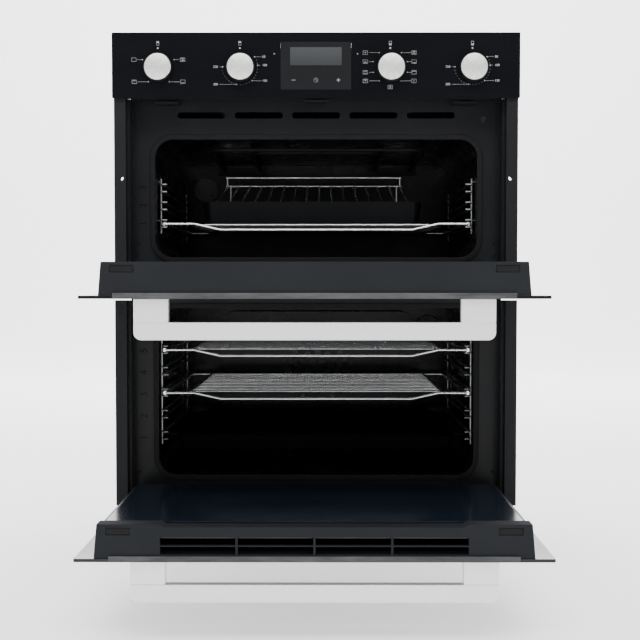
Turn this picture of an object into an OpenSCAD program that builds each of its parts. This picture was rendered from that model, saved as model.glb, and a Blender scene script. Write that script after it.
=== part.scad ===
// Double wall oven for a built-under cabinet: a fascia with four knobs, a small grill
// oven above, a fan oven below, and two drop-down glass doors, both drawn open.
// X is to the right, Y goes into the cabinet and Z is up. The origin lies on the
// underside of the base, on the centre line, in the plane of the cabinet front.

/* [Overall] */
// Width over the fascia and the door glasses
total_w = 595; // [592:1:598]
// Height from the underside of the base to the top of the fascia
total_h = 717; // [715:1:722]
// Width of the casing that slides into the cabinet
casing_w = 558; // [556:1:560]
// Height of the casing behind the fascia
casing_h = 705; // [700:1:708]
// Depth of the casing behind the cabinet front
casing_d = 545; // [535:1:560]
// How far the fascia and the closed doors stand ahead of the cabinet front
front_proud = 22; // [21:0.5:23]
// Thickness of the casing and cavity sheets
sheet = 1.2; // [1:0.1:1.5]

/* [Fascia] */
// Height of the fascia
fascia_h = 95; // [92:1:96]
// Thickness of the fascia glass
fascia_glass_t = 4; // [3.5:0.5:4.5]
// Diameter of a knob's metal face
knob_d = 39; // [34:1:42]
// How far a knob stands out from the fascia glass
knob_proud = 15; // [12:1:26]
// Knob centres, out from the middle
knob_inner_x = 109.5; // [100:0.5:115]
knob_outer_x = 229; // [215:1:235]
// Width of the display panel
display_w = 103; // [90:1:110]
// Height of the display panel
display_h = 69; // [60:1:72]

/* [Doors] */
// Height of the upper door glass
upper_door_h = 277; // [274:1:278]
// Gap between the fascia and the closed upper door
top_gap = 8; // [7:0.5:9]
// Gap between the two closed doors
mid_gap = 10; // [9:0.5:11]
// Height of the lower door glass
lower_door_h = 314; // [312:1:315]
// Thickness of the outer door glass
door_glass_t = 4.3; // [4:0.1:5]
// Whole thickness of a door
door_t = 46.8; // [46:0.1:47]
// Depth of the hinge pin behind the front of the door glass
pivot_in = 20; // [19.5:0.1:20.5]
// Height of the hinge pin above the lower edge of the door glass
pivot_up = 16; // [15.5:0.1:16.5]

/* [Handles] */
// Length of a handle
handle_l = 458; // [440:1:470]
// Height of the handle bar, along the door
handle_h = 13; // [12:0.5:16]
// Length of a handle post, along the bar
post_w = 44; // [40:1:50]
// Clear space between the glass and the bar
post_l = 30; // [28:1:34]
// Depth of the handle bar, away from the door
bar_d = 22.4; // [20:0.1:24]
// Distance from the top edge of the glass to the handle
handle_drop = 8; // [6:1:12]

/* [Cavities] */
// Inside width of both cavities
cavity_w = 484; // [483:1:485]
// Floor and roof of the upper cavity
upper_floor = 391; // [390:0.5:392]
upper_roof = 567.5; // [566:0.5:569]
// Floor and roof of the lower cavity
lower_floor = 61.5; // [61:0.5:62]
lower_roof = 314; // [313:0.5:315]
// Rear wall of the upper cavity, behind the cabinet front
upper_back = 423; // [420:1:425]
// Rear wall of the lower cavity, behind the cabinet front
lower_back = 433; // [430:1:435]
// Corner radius of the cavities
cavity_r = 27; // [22:1:30]

/* [Hidden] */
$fn = 48;

// Planes that the pieces share
front_y = -front_proud;
fascia_z = total_h - fascia_h;
knob_z = fascia_z + 43.2;
upper_door_z = fascia_z - top_gap - upper_door_h;
lower_door_z = upper_door_z - mid_gap - lower_door_h;
pivot_y = front_y + pivot_in;
upper_pivot_z = upper_door_z + pivot_up;
lower_pivot_z = lower_door_z + pivot_up;

// Front frame: its sheet lies behind the closed doors, its side returns line the recess
frame_y = 28;
frame_top = 640;
frame_foot = 2;
return_x = 275;
seal_w = 8;
seal_t = 2.6;
lower_mouth_w = 476;
vent_w = 72;
vent_h = 9.5;
vent_pitch = 86;
vent_z = 604;

// Side trims: hollow strips that cover the cabinet's edges and carry the fixing screws
trim_in = 279;
trim_out = 296;
trim_d = 16;
trim_wall = 1.5;
swing_below = 26;
swing_above = 6;
side_runs = [[lower_pivot_z - swing_above, upper_pivot_z - swing_below],
             [upper_pivot_z - swing_above, fascia_z + 1.8]];
screw_x = 285.5;
screw_z = 506;
screw_r = 3.25;

// Wires of the racks, shelves and trivet
rack_x = 238.3;
rack_r = 1.6;
rung_x = 234.3;
rung_in_x = 227;
rung_r = 1.5;
rack_front = 60;
rack_back = 385;
upper_levels = [442, 469, 496];
lower_levels = [118, 151, 184, 217, 250];
shelf_side_x = 231;
shelf_side_r = 3;
shelf_inner_x = 194;
shelf_front = 46;
shelf_back = 396;
shelf_wire_r = 1.5;
shelf_wires = 12;
shelf_dip = 9;
dip_from_x = 186;
dip_to_x = 146;

// Grill pan, which stands on the upper shelf a little left of the middle
pan_x = -6.5;
pan_w = 342;
pan_front = 74;
pan_d = 280;
pan_floor = 444.4;
pan_rim = 478;
trivet_front_z = 473;
trivet_back_z = 523;
trivet_guard_z = 538;
trivet_w = 310;
trivet_wires = 16;

// Doors, in a door's own closed position: x across, y back from the glass, z up
rail_h = 25;
rail_drop = 1.5;
rail_front_w = 545;
rail_back_w = 538;
rail_wall = 5.5;
raised_x = 190;
raised_t = 3.4;
lip_w = 508;
lip_t = 1;
window_w = 93;
window_pitch = 96;
window_low = 9;
window_high = 30.5;
clip_x = 227.5;
clip_w = 30;
post_x = 248;
post_out_x = 268;
inner_glass_w = 524;
inner_glass_z = 30;
hinge_x = 258;
hinge_head_r = 9;
hinge_tongue = 6;
ear_in = 3.6;
ear_out = 6;
hinge_pin_r = 3;
running_fit = 0.06;

// Fan, lamps and blower
lamp_x = 205;
fan_z = 188;
cover_w = 350;
cover_h = 222;
cover_d = 30;
fan_axle_r = 4;
blower_y = 245;
blower_z = 650;
blower_w = 300;
blower_r = 28;

// ---------- shared shapes ----------

// A block from its lowest to its highest corner
module block(low, high) {
  translate(low) cube(high - low);
}

// Extrudes a flat shape, drawn in X and Z, from y0 to y1
module along_y(y0, y1) {
  translate([0, y1, 0]) rotate([90, 0, 0]) linear_extrude(y1 - y0) children();
}

// Extrudes a flat shape, drawn in Y and Z, from x0 to x1
module along_x(x0, x1) {
  translate([x0, 0, 0]) rotate([90, 0, 90]) linear_extrude(x1 - x0) children();
}

// A rectangle with round corners, about its middle
module round_rect(w, h, r) {
  square([w - 2 * r, h], center = true);
  square([w, h - 2 * r], center = true);
  for (x = [-1, 1], z = [-1, 1])
    translate([x * (w / 2 - r), z * (h / 2 - r)]) circle(r = r);
}

// A straight round wire between two points
module wire(a, b, r) {
  d = b - a;
  len = norm(d);
  translate(a) rotate([0, acos(d[2] / len), atan2(d[1], d[0])]) cylinder(h = len, r = r);
}

// A bent wire through a list of points
module bent_wire(points, r) {
  for (i = [0 : len(points) - 2]) wire(points[i], points[i + 1], r);
  for (i = [1 : len(points) - 2])
    translate(points[i]) sphere(r = r + 0.05);
}

// The opening of a cavity, or a ring's edge grow outside it
module mouth(w, floor_z, roof_z, grow = 0) {
  translate([0, (floor_z + roof_z) / 2])
    round_rect(w + 2 * grow, roof_z - floor_z + 2 * grow, cavity_r + grow);
}

// ---------- casing ----------

module base_plate() color("silver") {
  half = casing_w / 2 - sheet;
  block([-half, -10, 0], [half, casing_d - sheet, sheet]);
  for (s = [-1, 1])
    block([min(s * half, s * (half - sheet)), 32, 0],
          [max(s * half, s * (half - sheet)), casing_d - sheet, 14]);
}

module side_panel(s) color("silver") difference() {
  x0 = casing_w / 2 - sheet;
  block([min(s * x0, s * casing_w / 2), frame_y + sheet, 0],
        [max(s * x0, s * casing_w / 2), casing_d, casing_h]);
  for (i = [0 : 5])
    block([-casing_w, 300 + i * 32, 630], [casing_w, 318 + i * 32, 634]);
}

module rear_panel() color("silver") difference() {
  half = casing_w / 2 - sheet;
  block([-half, casing_d - sheet, 0], [half, casing_d, casing_h - sheet]);
  for (i = [-5 : 5])
    block([i * 36 - 12, casing_d - 5, 660], [i * 36 + 12, casing_d + 5, 665]);
  translate([-210, 0, 600]) along_y(casing_d - 5, casing_d + 5) circle(r = 13);
}

module top_panel() color("silver") {
  half = casing_w / 2 - sheet;
  block([-half, frame_y + sheet, casing_h - sheet], [half, casing_d, casing_h]);
}

module front_frame() color("dimgray") {
  along_y(frame_y, frame_y + sheet) difference() {
    translate([-casing_w / 2, frame_foot]) square([casing_w, frame_top - frame_foot]);
    mouth(cavity_w, upper_floor, upper_roof);
    mouth(lower_mouth_w, lower_floor, lower_roof);
    for (i = [-2 : 2]) translate([i * vent_pitch, vent_z])
      round_rect(vent_w, vent_h, vent_h / 2 - 0.1);
    translate([251, 598]) circle(r = 4);
  }
  for (s = [-1, 1], run = side_runs) {
    block([s > 0 ? return_x : -return_x - sheet, 0, run[0]],
          [s > 0 ? return_x + sheet : -return_x, frame_y, run[1]]);
    block([s > 0 ? return_x : -trim_in, -sheet, run[0]],
          [s > 0 ? trim_in : -return_x, 0, run[1]]);
  }
}

// Two hollow strips, with a break between them where the upper door's glass swings in.
// One fixing screw passes through the front and back walls of the upper strip
module side_trim(s) color("slategray") difference() {
  x0 = s > 0 ? trim_in : -trim_out;
  x1 = s > 0 ? trim_out : -trim_in;
  for (run = side_runs) block([x0, -trim_d, run[0]], [x1, 0, run[1]]);
  block([x0 + trim_wall, -trim_d + trim_wall, 0], [x1 - trim_wall, -trim_wall, fascia_z]);
  translate([s * screw_x, 0, screw_z]) along_y(-trim_d - 1, 1) circle(r = screw_r);
}

module bottom_trim() color("dimgray") {
  block([-return_x + 0.5, frame_y - 1.5, sheet], [return_x - 0.5, frame_y, 14]);
}

// ---------- cavities ----------

module cavity(floor_z, roof_z, back, lamp_at, axle_r) difference() {
  along_y(frame_y + sheet, back + sheet) mouth(cavity_w, floor_z, roof_z, sheet);
  along_y(frame_y, back) mouth(cavity_w, floor_z, roof_z);
  translate([lamp_at, 0, roof_z - 45]) along_y(back - 5, back + 5) circle(r = 18);
  if (axle_r > 0) translate([0, 0, fan_z]) along_y(back - 5, back + 5) circle(r = axle_r);
}

module upper_cavity() color("darkslategray")
  cavity(upper_floor, upper_roof, upper_back, -lamp_x, 0);

module lower_cavity() color("darkslategray")
  cavity(lower_floor, lower_roof, lower_back, lamp_x, 12);

module seal(w, floor_z, roof_z) color("black")
  along_y(frame_y - seal_t, frame_y) difference() {
    mouth(w, floor_z, roof_z, seal_w);
    mouth(w, floor_z, roof_z);
  }

module insulation() color("khaki")
  for (c = [[upper_floor, upper_roof, upper_back, -lamp_x],
            [lower_floor, lower_roof, lower_back, lamp_x]]) difference() {
    along_y(frame_y + sheet + 2, c[2] + 28) mouth(cavity_w, c[0], c[1], 28);
    along_y(frame_y, c[2] + 10) mouth(cavity_w, c[0], c[1], 10);
    translate([c[3], 0, c[1] - 45]) along_y(c[2], c[2] + 40) circle(r = 24);
    if (c[3] > 0) translate([0, 0, fan_z]) along_y(c[2], c[2] + 40) circle(r = 30);
  }

// Side racks: two uprights, and a guide wire above and a runner below each shelf level,
// turned inwards at their front ends
module rack(s, levels) {
  top = levels[len(levels) - 1] + 16;
  for (y = [rack_front, rack_back]) {
    wire([s * rack_x, y, levels[0] - 14], [s * rack_x, y, top], rack_r);
    for (z = [levels[0] + 6, top - 5])
      wire([s * rack_x, y, z], [s * (cavity_w / 2 - 0.1), y, z], rack_r - 0.4);
  }
  for (level = levels, dz = [-4.9, 6.1]) {
    for (y = [rack_front, rack_back])
      wire([s * (rack_x - 0.6), y, level + dz], [s * (rung_x + 0.4), y, level + dz], rung_r - 0.2);
    bent_wire([[s * rung_in_x, shelf_front, level + dz], [s * rung_x, shelf_front, level + dz],
               [s * rung_x, rack_back + 8, level + dz]], rung_r);
  }
}

module upper_racks() color("gainsboro") for (s = [-1, 1]) rack(s, upper_levels);
module lower_racks() color("gainsboro") for (s = [-1, 1]) rack(s, lower_levels);

// ---------- heating, fan and lamps ----------

// A U of tube, open to the rear, lying flat at height z
module tube_loop(half, front, back, z, bend, r) {
  for (s = [-1, 1]) {
    wire([s * half, front + bend, z], [s * half, back, z], r);
    translate([s * (half - bend), front + bend, z])
      rotate([0, 0, s > 0 ? 270 : 180])
        rotate_extrude(angle = 90) translate([bend, 0]) circle(r = r);
  }
  wire([-half + bend, front, z], [half - bend, front, z], r);
}

module grill_element() color("gray") {
  tube_loop(170, 90, upper_back - 1, upper_roof - 8, 30, 3.2);
  tube_loop(105, 130, upper_back - 1, upper_roof - 8, 30, 3.2);
  for (s = [-1, 1])
    block([s * 137.5 - 45, upper_back - 2, upper_roof - 18],
          [s * 137.5 + 45, upper_back - 0.2, upper_roof - 2.5]);
}

module base_element() color("gray")
  tube_loop(180, 90, upper_back - 20, upper_floor - 6, 30, 3.2);

module ring_element() color("gray") {
  translate([0, lower_back - 18, fan_z]) rotate([90, 0, 0])
    rotate_extrude() translate([92, 0]) circle(r = 3.5);
  for (s = [-1, 1])
    wire([s * 20, lower_back - 18, fan_z - 89.8], [s * 20, lower_back - 0.2, fan_z - 89.8], 3);
}

// Pressed cover over the fan, with an intake grille and outlets at both sides
module fan_cover() color("dimgray") difference() {
  front = lower_back - cover_d;
  translate([0, 0, fan_z]) along_y(front, lower_back - 0.2) round_rect(cover_w, cover_h, 24);
  translate([0, 0, fan_z]) along_y(front + sheet, lower_back)
    round_rect(cover_w - 2 * sheet, cover_h - 2 * sheet, 24 - sheet);
  translate([0, 0, fan_z]) for (ring = [1 : 3], i = [0 : ring * 6 - 1])
    rotate([0, i * 60 / ring, 0]) translate([ring * 18, 0, 0])
      along_y(front - 5, front + 5) circle(r = 6);
  for (s = [-1, 1], i = [-2 : 2])
    block([s > 0 ? cover_w / 2 - 12 : -cover_w / 2 - 5, front + 6, fan_z + i * 34 - 10],
          [s > 0 ? cover_w / 2 + 5 : -cover_w / 2 + 12, lower_back - 8, fan_z + i * 34 + 10]);
}

module fan_impeller() color("lightgray") {
  hub = lower_back - 24;
  translate([0, 0, fan_z]) {
    along_y(hub, lower_back + 17) circle(r = fan_axle_r);
    along_y(lower_back - 10, lower_back - 8.8) circle(r = 74);
    along_y(hub + 2, lower_back - 9) circle(r = 12);
    for (i = [0 : 11]) rotate([0, i * 30, 0])
      block([42, lower_back - 22, -0.8], [72, lower_back - 9, 0.8]);
  }
}

module fan_motor() color("gray") translate([0, 0, fan_z]) difference() {
  union() {
    along_y(lower_back + 4, lower_back + 32) circle(r = 10);
    along_y(lower_back + 30, lower_back + 66) circle(r = 36);
    along_y(lower_back + 29, lower_back + 31) round_rect(110, 60, 8);
  }
  along_y(lower_back + 3, lower_back + 19) circle(r = fan_axle_r + running_fit);
}

// Drum housing of the cooling blower: bearings in its end plates, outlet to the front
module blower_housing() color("silver") translate([0, blower_y, blower_z]) difference() {
  along_x(-blower_w / 2 - 6, blower_w / 2 + 6) {
    circle(r = blower_r + 10);
    translate([-70, -blower_r - 10]) square([70, 34]);
  }
  along_x(-blower_w / 2 - 3, blower_w / 2 + 3) {
    circle(r = blower_r + 8.5);
    translate([-71, -blower_r - 8.5]) square([71, 31]);
  }
  along_x(-blower_w / 2 - 7, blower_w / 2 + 7) circle(r = fan_axle_r + running_fit);
  for (i = [-4 : 4]) block([i * 32 - 10, 0, 0], [i * 32 + 10, 60, 12]);
}

module blower_wheel() color("lightgray") translate([0, blower_y, blower_z]) {
  along_x(-blower_w / 2 - 6, blower_w / 2 + 24) circle(r = fan_axle_r);
  for (x = [-1, 0, 1])
    along_x(x * (blower_w / 2 - 1) - 1, x * (blower_w / 2 - 1) + 1) circle(r = blower_r);
  for (i = [0 : 15]) rotate([i * 22.5, 0, 0])
    block([-blower_w / 2, blower_r - 9, -0.6], [blower_w / 2, blower_r - 0.5, 0.6]);
}

module blower_motor() color("gray") translate([0, blower_y, blower_z]) difference() {
  along_x(blower_w / 2 + 8, blower_w / 2 + 60) circle(r = 30);
  along_x(blower_w / 2 + 7, blower_w / 2 + 26) circle(r = fan_axle_r + running_fit);
}

// Flat duct from the blower's outlet to the vents above the upper door
module air_duct() color("silver") difference() {
  block([-blower_w / 2 - 70, frame_y + sheet, 598.5], [blower_w / 2 + 70, blower_y - 72, 638]);
  block([-blower_w / 2 - 69, 0, 599.5], [blower_w / 2 + 69, blower_y - 73, 637]);
  block([-blower_w / 2 - 3, blower_y - 75, 613.5], [blower_w / 2 + 3, blower_y, 636]);
}

module oven_lamps() color("white")
  for (p = [[-lamp_x, upper_back + 2.2, upper_roof - 45], [lamp_x, lower_back + 2.2, lower_roof - 45]])
    translate([p[0], 0, p[2]]) {
      along_y(p[1], p[1] + 22) circle(r = 11);
      along_y(p[1] + 21, p[1] + 38) circle(r = 16);
    }

module lamp_lenses() color("lightyellow")
  for (p = [[-lamp_x, upper_back, upper_roof - 45], [lamp_x, lower_back, lower_roof - 45]])
    translate([p[0], 0, p[2]]) difference() {
      along_y(p[1] - 9, p[1] - 0.2) circle(r = 23);
      along_y(p[1] - 7, p[1] + 1) circle(r = 19);
    }

// ---------- fascia ----------

knob_xs = [-knob_outer_x, -knob_inner_x, knob_inner_x, knob_outer_x];

module display_shape() translate([0, fascia_z + 46.75]) round_rect(display_w, display_h, 1.5);

module fascia_glass() color("black") along_y(front_y, front_y + fascia_glass_t) difference() {
  translate([0, fascia_z + fascia_h / 2]) round_rect(total_w, fascia_h, 1.5);
  display_shape();
  for (x = knob_xs) translate([x, knob_z]) circle(r = 6);
}

// Carrier behind the fascia glass; two arms at its ends meet the front frame
module fascia_carrier() color("darkslategray") {
  back = front_y + fascia_glass_t;
  difference() {
    block([-total_w / 2 + 2, back, fascia_z + 2], [total_w / 2 - 2, 0, total_h - 2]);
    block([-total_w / 2 + 4, back + 2, fascia_z + 4], [total_w / 2 - 4, 1, total_h - 4]);
    for (x = knob_xs) translate([x, 0, knob_z]) along_y(front_y, 0) circle(r = 6);
    along_y(front_y, 0) display_shape();
  }
  for (s = [-1, 1])
    block([s > 0 ? 262 : -return_x + 1, back + 1, fascia_z + 2],
          [s > 0 ? return_x - 1 : -262, frame_y, frame_top]);
}

module display_window() color("gray")
  along_y(front_y, front_y + fascia_glass_t) translate([0, fascia_z + 46.75])
    round_rect(display_w - 0.2, display_h - 0.2, 1.4);

module timer_module() color("green")
  block([-display_w / 2 + 1.5, front_y + fascia_glass_t + 0.3, fascia_z + 14],
        [display_w / 2 - 1.5, 14, fascia_z + 79]);

module rotary_switches() color("white") for (x = knob_xs) difference() {
  block([x - 18, front_y + fascia_glass_t + 2.2, knob_z - 18], [x + 18, 16, knob_z + 18]);
  translate([x, 0, knob_z]) along_y(front_y, 10) circle(r = 3 + running_fit);
}

// A knob with its skirt and the switch shaft that it turns
module knob(x) translate([x, 0, knob_z]) {
  color("lightgray") along_y(front_y - knob_proud, front_y - 1.6) circle(r = knob_d / 2);
  color("dimgray") along_y(front_y - knob_proud + 1, front_y - 0.6) circle(r = knob_d / 2 + 1.2);
  color("dimgray") along_y(front_y - 1, 8) circle(r = 3);
}

// ---------- connection ----------

// Terminal box inside the rear panel, with the gland that the supply cable enters by
module terminal_box() color("white") translate([-210, 0, 600]) difference() {
  union() {
    block([-35, casing_d - 45, -30], [35, casing_d - sheet, 30]);
    along_y(casing_d - 4, casing_d + 12) circle(r = 12.5);
  }
  block([-33, casing_d - 43, -28], [33, casing_d - sheet - 2, 28]);
  along_y(casing_d - 8, casing_d + 13) circle(r = 6.5);
}

// ---------- hinges ----------

// Tongues on the frame that hold the door pins
module hinge_brackets() color("silver")
  for (s = [-1, 1], z = [upper_pivot_z, lower_pivot_z])
    translate([s * hinge_x, 0, z]) difference() {
      union() {
        along_x(-hinge_tongue / 2, hinge_tongue / 2) {
          translate([pivot_y, 0]) circle(r = hinge_head_r);
          translate([pivot_y, -hinge_head_r])
            square([frame_y - pivot_y - 0.2, 2 * hinge_head_r]);
        }
        block([-8, frame_y - 1.6, -13], [8, frame_y, 13]);
      }
      along_x(-10, 10) translate([pivot_y, 0]) circle(r = hinge_pin_r + running_fit);
    }

module hinge_pins() color("gray")
  for (s = [-1, 1], z = [upper_pivot_z, lower_pivot_z])
    translate([s * hinge_x, pivot_y, z]) along_x(-7, 7) circle(r = hinge_pin_r);

// ---------- doors ----------

// Turns a closed door, drawn from the lower front edge of its glass, to its open place
module opened(door_z) {
  translate([0, pivot_y, door_z + pivot_up]) rotate([90, 0, 0])
    translate([0, -pivot_in, -pivot_up]) children();
}

module door_glass(h) color("black") along_y(0, door_glass_t)
  translate([0, h / 2]) round_rect(total_w, h, 1.5);

module inner_glass(h) color("lightgray") along_y(door_t - 4.8, door_t - 0.8)
  translate([0, (inner_glass_z + h - rail_h - 1) / 2])
    round_rect(inner_glass_w, h - rail_h - 1 - inner_glass_z, 4);

// Two steel side tubes and a bottom tube; each side tube is slotted for its hinge tongue
module door_frame(h) color("silver") difference() {
  union() {
    for (s = [-1, 1])
      block([s > 0 ? post_x : -post_out_x, door_glass_t + 0.2, 8],
            [s > 0 ? post_out_x : -post_x, door_t - 4.8, h - rail_h]);
    block([-post_x, door_glass_t + 0.2, 12], [post_x, door_t - 6, 26]);
  }
  for (s = [-1, 1]) {
    block([s > 0 ? post_x + sheet : -post_out_x + sheet, door_glass_t + 1.4, 0],
          [s > 0 ? post_out_x - sheet : -post_x - sheet, door_t - 6, h]);
    block([s * hinge_x - 5, 8, 0], [s * hinge_x + 5, door_t, pivot_up + 11]);
  }
  block([-post_x + 5, door_glass_t + 1.4, 10], [post_x - 5, door_t - 7.2, 24.8]);
}

// Ears on both sides of the tongue, joined above it inside the side tube
module hinge_arms() color("silver") for (s = [-1, 1]) translate([s * hinge_x, 0, 0]) difference() {
  union() {
    for (e = [-1, 1]) along_x(e > 0 ? ear_in : -ear_out, e > 0 ? ear_out : -ear_in) {
      translate([pivot_in, pivot_up]) circle(r = hinge_head_r);
      translate([pivot_in - 8, pivot_up]) square([16, 66]);
    }
    block([-8.8, pivot_in - 8, pivot_up + 44], [8.8, pivot_in + 8, pivot_up + 66]);
  }
  along_x(-10, 10) translate([pivot_in, pivot_up]) circle(r = hinge_pin_r + running_fit);
}

// Outline of a top rail, seen from above the closed door
module rail_outline(inset) polygon([
  [-rail_front_w / 2 + inset, door_glass_t + inset], [rail_front_w / 2 - inset, door_glass_t + inset],
  [rail_back_w / 2 - inset, door_t - inset], [-rail_back_w / 2 + inset, door_t - inset]]);

// Moulded top rail with clip pockets at its ends, and air windows on the lower door
module door_rail(h, windows) color("dimgray") {
  difference() {
    translate([0, 0, h - rail_h]) linear_extrude(rail_h - rail_drop) rail_outline(0);
    translate([0, 0, h - rail_h - 1]) linear_extrude(rail_h - rail_drop - rail_wall + 1)
      rail_outline(rail_wall);
    for (s = [-1, 1])
      block([s > 0 ? clip_x : -clip_x - clip_w, 33.5, h - rail_drop - 2],
            [s > 0 ? clip_x + clip_w : -clip_x, 42.5, h]);
    if (windows) for (i = [-1.5 : 1.5], part = [[window_low, 18.8], [20.6, window_high]])
      block([i * window_pitch - window_w / 2, part[0], h - rail_h],
            [i * window_pitch + window_w / 2, part[1], h]);
    if (windows) translate([0, 0, h - rail_h - 1]) linear_extrude(rail_h) polygon([
      [-raised_x, door_t + 1], [-raised_x, door_t], [-raised_x + 5, door_t - raised_t],
      [raised_x - 5, door_t - raised_t], [raised_x, door_t], [raised_x, door_t + 1]]);
  }
  block([-lip_w / 2, door_glass_t, h - rail_drop - 0.5], [lip_w / 2, 8, h + lip_t]);
  block([-lip_w / 2, 0.2, h], [lip_w / 2, door_glass_t + 1, h + lip_t]);
}

module handle_bar(h) color("lightgray")
  translate([0, -post_l - bar_d, h - handle_drop - handle_h]) linear_extrude(handle_h) {
    r = 10;
    translate([-handle_l / 2 + r, 0]) square([handle_l - 2 * r, bar_d]);
    translate([-handle_l / 2, r]) square([handle_l, bar_d - r]);
    for (s = [-1, 1]) translate([s * (handle_l / 2 - r), r]) circle(r = r);
  }

module handle_posts(h) color("silver") for (s = [-1, 1])
  block([s > 0 ? handle_l / 2 - post_w : -handle_l / 2, -post_l, h - handle_drop - handle_h],
        [s > 0 ? handle_l / 2 : -handle_l / 2 + post_w, 0, h - handle_drop]);

// ---------- shelves, pan and tray ----------

// A wire shelf: side rails, two inner rails, cross wires and a dipped front wire
module wire_shelf(z) color("gainsboro") {
  for (s = [-1, 1]) {
    wire([s * shelf_side_x, shelf_front - 0.8, z], [s * shelf_side_x, shelf_back + 0.8, z], shelf_side_r);
    wire([s * shelf_inner_x, shelf_front + 1, z], [s * shelf_inner_x, shelf_back - 1, z], 2.3);
  }
  for (i = [1 : shelf_wires])
    let (y = shelf_front + i * (shelf_back - shelf_front) / (shelf_wires + 1))
      wire([-shelf_inner_x - 3, y, z], [shelf_inner_x + 3, y, z], shelf_wire_r);
  wire([-shelf_side_x, shelf_back, z], [shelf_side_x, shelf_back, z], 2.6);
  bends = [for (x = [-dip_from_x, -dip_to_x, dip_to_x, dip_from_x])
    [x, shelf_front, abs(x) > dip_to_x ? z : z - shelf_dip]];
  for (i = [0 : 2]) wire(bends[i], bends[i + 1], 2.6);
  for (bend = bends) translate(bend) rotate([90, 0, 0]) sphere(r = 2.72);
  for (s = [-1, 1])
    wire([s * dip_from_x, shelf_front, z], [s * shelf_side_x, shelf_front, z], 2.6);
}

// A pressed pan with sloping walls, between two heights
module pan_body(w, d, low, high, slope, t) difference() {
  hull() {
    translate([0, 0, low]) linear_extrude(0.1) round_rect(w - 2 * slope, d - 2 * slope, 14, $fn = 32);
    translate([0, 0, high - 0.1]) linear_extrude(0.1) round_rect(w, d, 20, $fn = 32);
  }
  hull() {
    translate([0, 0, low + t]) linear_extrude(0.1)
      round_rect(w - 2 * slope - 2 * t, d - 2 * slope - 2 * t, 13, $fn = 32);
    translate([0, 0, high]) linear_extrude(0.2) round_rect(w - 2 * t, d - 2 * t, 19, $fn = 32);
  }
}

module grill_pan() color("darkslategray") translate([pan_x, pan_front + pan_d / 2, 0])
  pan_body(pan_w, pan_d, pan_floor, pan_rim, 5, 1.6);

// A wire rack that stands in the grill pan and slopes down to its front rim
module grill_trivet() color("gainsboro") {
  front = pan_front + 20;
  back = pan_front + pan_d - 20;
  half = trivet_w / 2;
  foot_x = half - 8;
  for (bar = [[front, trivet_front_z], [back, trivet_back_z]]) {
    wire([pan_x - half, bar[0], bar[1]], [pan_x + half, bar[0], bar[1]], 2.2);
    for (s = [-1, 1])
      wire([pan_x + s * foot_x, bar[0], pan_floor + 2], [pan_x + s * foot_x, bar[0], bar[1]], 2);
  }
  for (i = [0 : trivet_wires - 1])
    let (x = pan_x - half + 3 + i * (trivet_w - 6) / (trivet_wires - 1))
      wire([x, front - 4, trivet_front_z + 1], [x, back + 3, trivet_back_z + 1], 1.5);
  for (s = [-1, 1])
    wire([pan_x + s * (half - 2), back, trivet_back_z], [pan_x + s * (half - 2), back, trivet_guard_z], 2);
  wire([pan_x - half, back, trivet_guard_z], [pan_x + half, back, trivet_guard_z], 2);
}

module baking_tray() color("darkslategray") {
  mid = (shelf_front + shelf_back) / 2;
  tray_w = 430;
  tray_d = 344;
  rim = lower_levels[0] - 1.4;
  translate([0, mid, 0]) pan_body(tray_w, tray_d, rim - 20, rim + 1.4, 8, 1.4);
  for (s = [-1, 1])
    block([s > 0 ? tray_w / 2 - 0.6 : -shelf_side_x - 3, mid - tray_d / 2 + 24, rim],
          [s > 0 ? shelf_side_x + 3 : -tray_w / 2 + 0.6, mid + tray_d / 2 - 24, rim + 1.4]);
}

base_plate();
side_panel(-1);  // side_panel_left
side_panel(1);  // side_panel_right
rear_panel();
top_panel();
front_frame();
side_trim(-1);  // side_trim_left
side_trim(1);  // side_trim_right
bottom_trim();
upper_cavity();
lower_cavity();
seal(cavity_w, upper_floor, upper_roof);  // upper_seal
seal(lower_mouth_w, lower_floor, lower_roof);  // lower_seal
insulation();
upper_racks();
lower_racks();
grill_element();
base_element();
ring_element();
fan_cover();
fan_motor();
fan_impeller();
blower_housing();
blower_motor();
blower_wheel();
air_duct();
oven_lamps();
lamp_lenses();
fascia_glass();
fascia_carrier();
display_window();
timer_module();
rotary_switches();
knob(knob_xs[0]);  // upper_function_knob
knob(knob_xs[1]);  // upper_thermostat_knob
knob(knob_xs[2]);  // lower_function_knob
knob(knob_xs[3]);  // lower_thermostat_knob
terminal_box();
hinge_brackets();
hinge_pins();
opened(upper_door_z) door_glass(upper_door_h);  // upper_door_glass
opened(upper_door_z) inner_glass(upper_door_h);  // upper_door_inner_glass
opened(upper_door_z) door_frame(upper_door_h);  // upper_door_frame
opened(upper_door_z) door_rail(upper_door_h, false);  // upper_door_rail
opened(upper_door_z) hinge_arms();  // upper_hinge_arms
opened(upper_door_z) handle_bar(upper_door_h);  // upper_handle_bar
opened(upper_door_z) handle_posts(upper_door_h);  // upper_handle_posts
opened(lower_door_z) door_glass(lower_door_h);  // lower_door_glass
opened(lower_door_z) inner_glass(lower_door_h);  // lower_door_inner_glass
opened(lower_door_z) door_frame(lower_door_h);  // lower_door_frame
opened(lower_door_z) door_rail(lower_door_h, true);  // lower_door_rail
opened(lower_door_z) hinge_arms();  // lower_hinge_arms
opened(lower_door_z) handle_bar(lower_door_h);  // lower_handle_bar
opened(lower_door_z) handle_posts(lower_door_h);  // lower_handle_posts
wire_shelf(upper_levels[0]);  // upper_shelf
grill_pan();
grill_trivet();
wire_shelf(lower_levels[4]);  // lower_shelf_top
wire_shelf(lower_levels[2]);  // lower_shelf_middle
baking_tray();
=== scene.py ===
import math

import bmesh
import bpy
from mathutils import Matrix, Vector


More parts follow.
